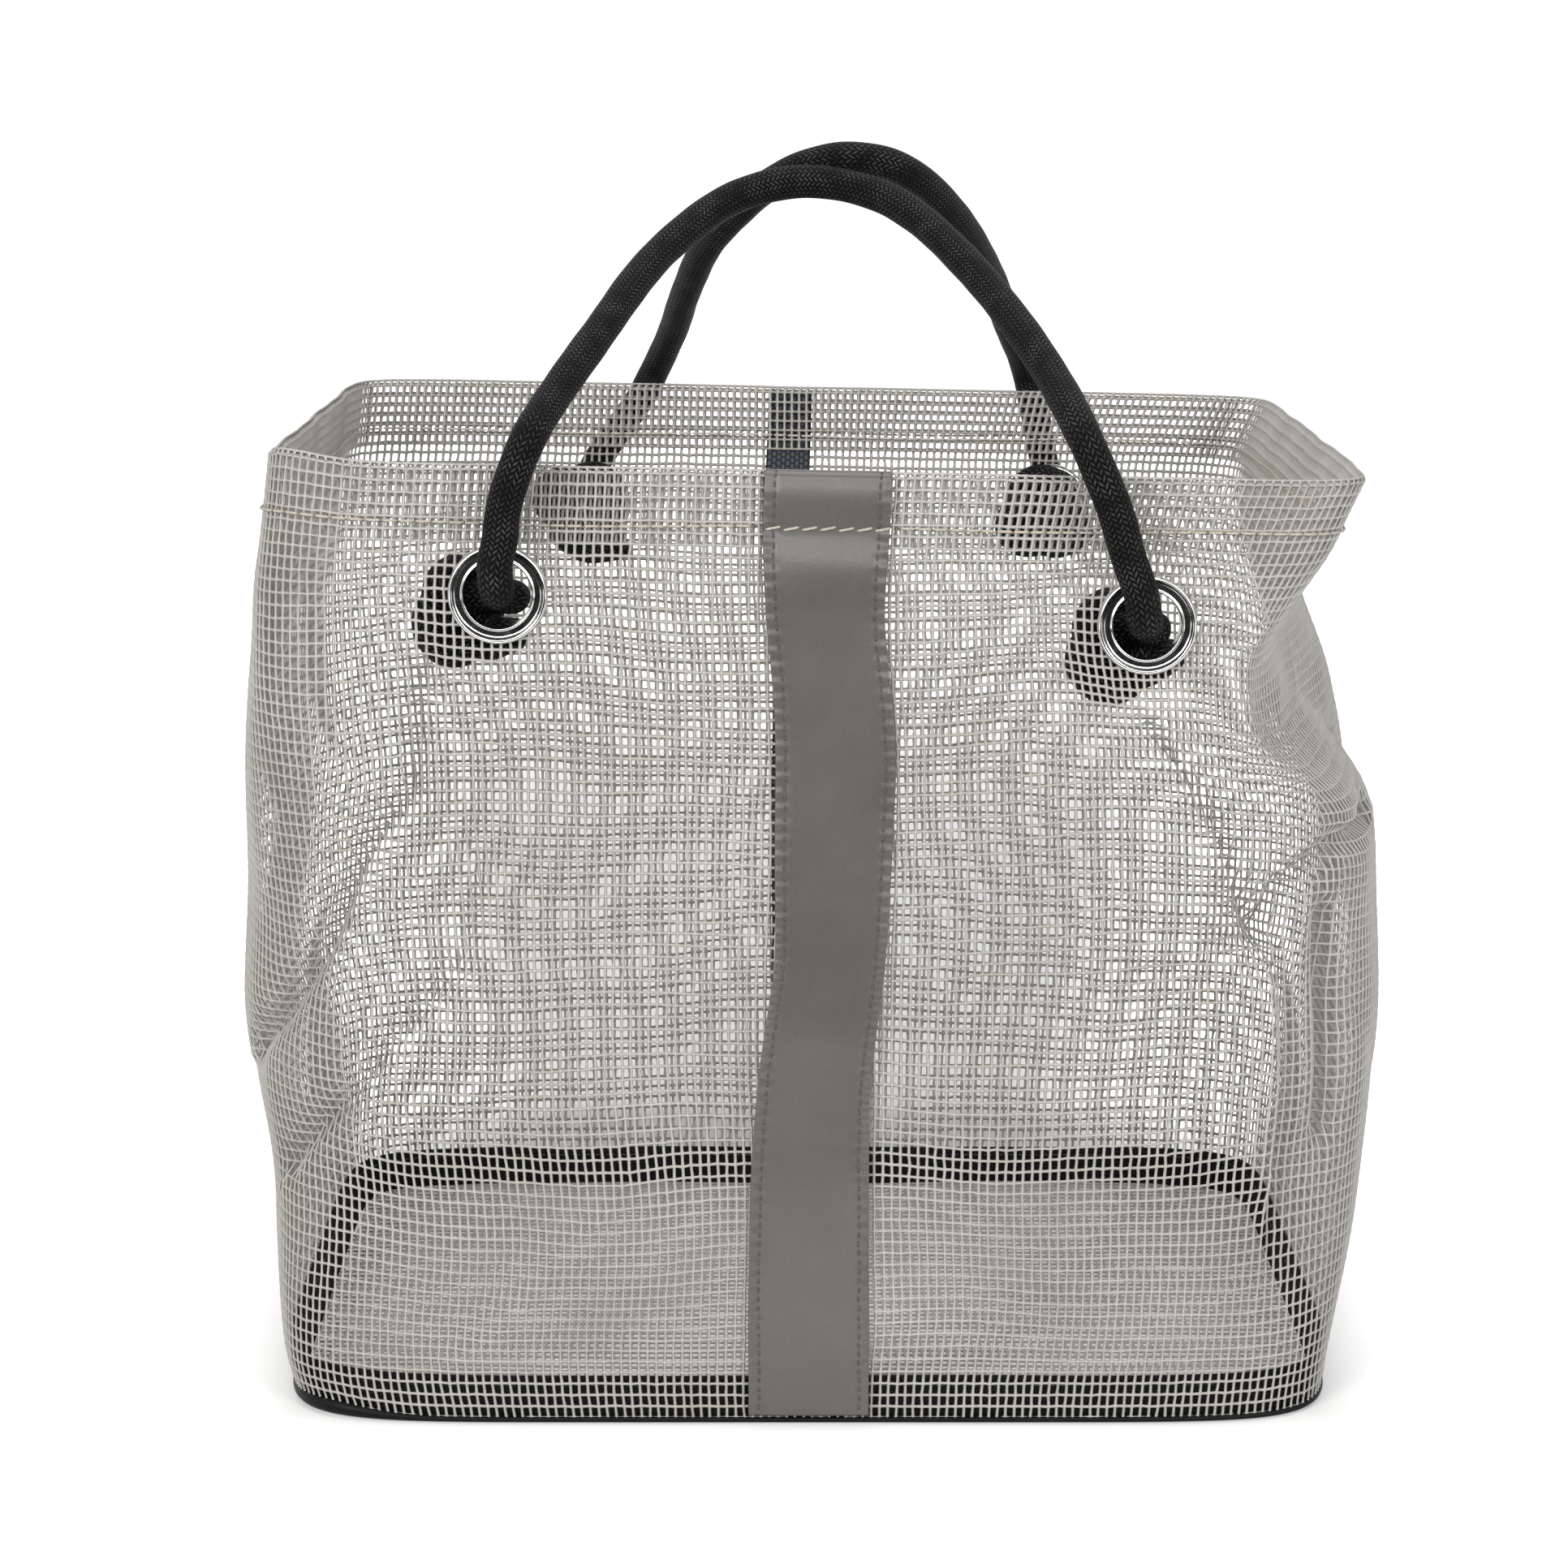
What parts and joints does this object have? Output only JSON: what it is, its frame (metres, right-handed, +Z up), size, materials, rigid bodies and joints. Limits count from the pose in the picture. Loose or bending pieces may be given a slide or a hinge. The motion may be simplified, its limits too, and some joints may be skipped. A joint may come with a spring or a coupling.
{
  "type": "mesh shower caddy",
  "caption": "Open-top tote of coated net with a front strap, metal eyelets and rope handles that swing, for carrying and draining bath things.",
  "frame": {"origin": "on the surface that the caddy stands on, under the middle of its bounding box", "axes": "+Z up; +X to the right seen from the front, where the strap is; +Y from the front to the back"},
  "size_m": [0.2748, 0.2036, 0.2947],
  "materials": {
    "net": "woven net with a light warm grey plastic coating, satin",
    "tape": "black woven seam tape, matte",
    "strap": "warm grey imitation leather, semi-gloss",
    "rope": "black braided rope, matte",
    "thread": "beige sewing thread",
    "dark_thread": "dark grey sewing thread",
    "chrome": "polished nickel or chrome plate"
  },
  "bodies": {
    "bag": {"wall_net_front": "net", "wall_net_back": "net", "wall_net_left": "net", "wall_net_right": "net", "rim_hem": "net", "base_net": "net", "base_seam_tape": "tape", "back_seam_tape": "tape", "front_strap": "strap", "strap_thread_left": "dark_thread", "strap_thread_right": "dark_thread", "hem_thread": "thread", "eyelet_front_left": "chrome", "washer_front_left": "chrome", "rope_end_front_left": "rope", "eyelet_front_right": "chrome", "washer_front_right": "chrome", "rope_end_front_right": "rope", "eyelet_back_left": "chrome", "washer_back_left": "chrome", "rope_end_back_left": "rope", "eyelet_back_right": "chrome", "washer_back_right": "chrome", "rope_end_back_right": "rope"},
    "front_handle": {"front_handle": "rope"},
    "back_handle": {"back_handle": "rope"}
  },
  "joints": [
    {"name": "front_handle_swing", "type": "hinge", "parent": "bag", "child": "front_handle", "pos_m": [-0.071, -0.0973, 0.19841], "axis": [0.9989, -0.0018, -0.0472], "range_deg": [0, 175]},
    {"name": "back_handle_swing", "type": "hinge", "parent": "bag", "child": "back_handle", "pos_m": [-0.06075, 0.0975, 0.19289], "axis": [-1, 0, 0], "range_deg": [0, 175]}
  ]
}
